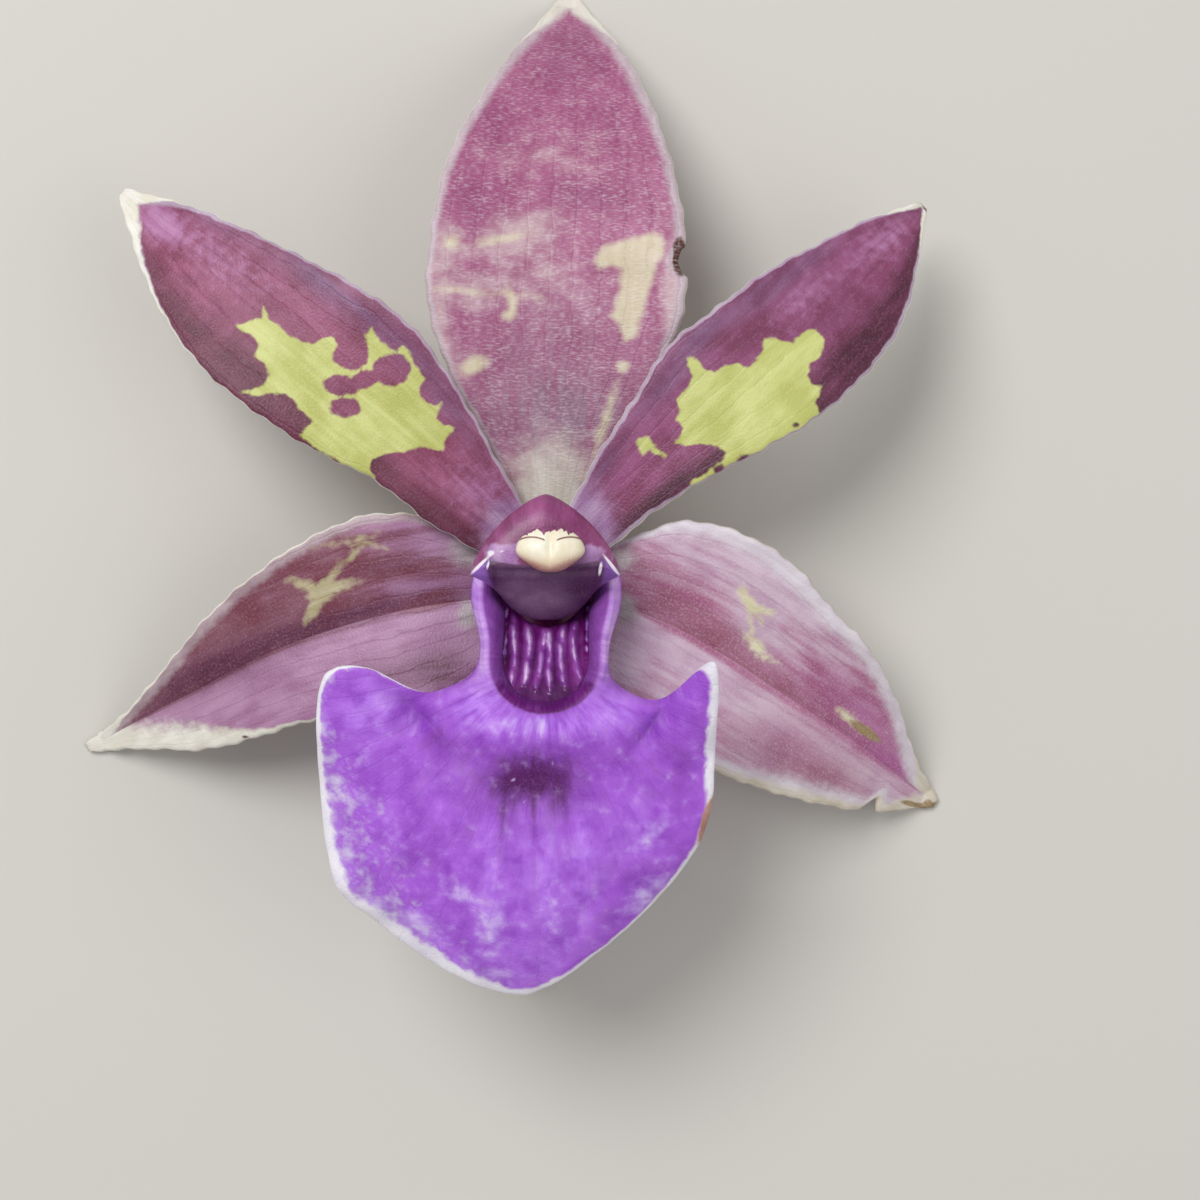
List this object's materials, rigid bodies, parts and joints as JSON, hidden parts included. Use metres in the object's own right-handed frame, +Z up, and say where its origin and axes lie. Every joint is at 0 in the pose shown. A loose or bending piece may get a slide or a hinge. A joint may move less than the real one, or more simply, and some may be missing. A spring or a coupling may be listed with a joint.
{
  "type": "zygopetalum orchid flower",
  "caption": "Single picked orchid flower lying face up: plum sepals and petals round a hooded column, a broad violet lip with a ridged callus, and a short ribbed green stalk.",
  "frame": {"origin": "centre of the flower's bounding box, on the surface that it lies on", "axes": "+X to the right as you look at the flower's face, +Y along the dorsal sepal, away from the cut end of the stalk, +Z up, out of the flower's face"},
  "size_m": [0.0756, 0.087, 0.0242],
  "materials": {
    "stalk": "smooth waxy green skin, faintly ribbed",
    "sepal": "satin plant tissue with a fine sparkling grain, plum with a cream margin",
    "petal": "satin plant tissue, maroon plum with yellow-green blotches",
    "lip": "velvety violet plant tissue with a white rippled margin",
    "callus": "wet-looking glossy dark magenta ridges",
    "column": "smooth satin plum tissue with a pale lilac edge",
    "anther": "smooth waxy cream cap",
    "pollen": "waxy yellow pollen masses"
  },
  "bodies": {
    "root": {"ovary_and_pedicel": "stalk", "dorsal_sepal": "sepal", "lateral_sepal_left": "sepal", "lateral_sepal_right": "sepal", "petal_left": "petal", "petal_right": "petal", "lip": "lip", "lip_callus": "callus", "column": "column", "anther_cap": "anther", "pollinarium": "pollen"}
  },
  "joints": []
}
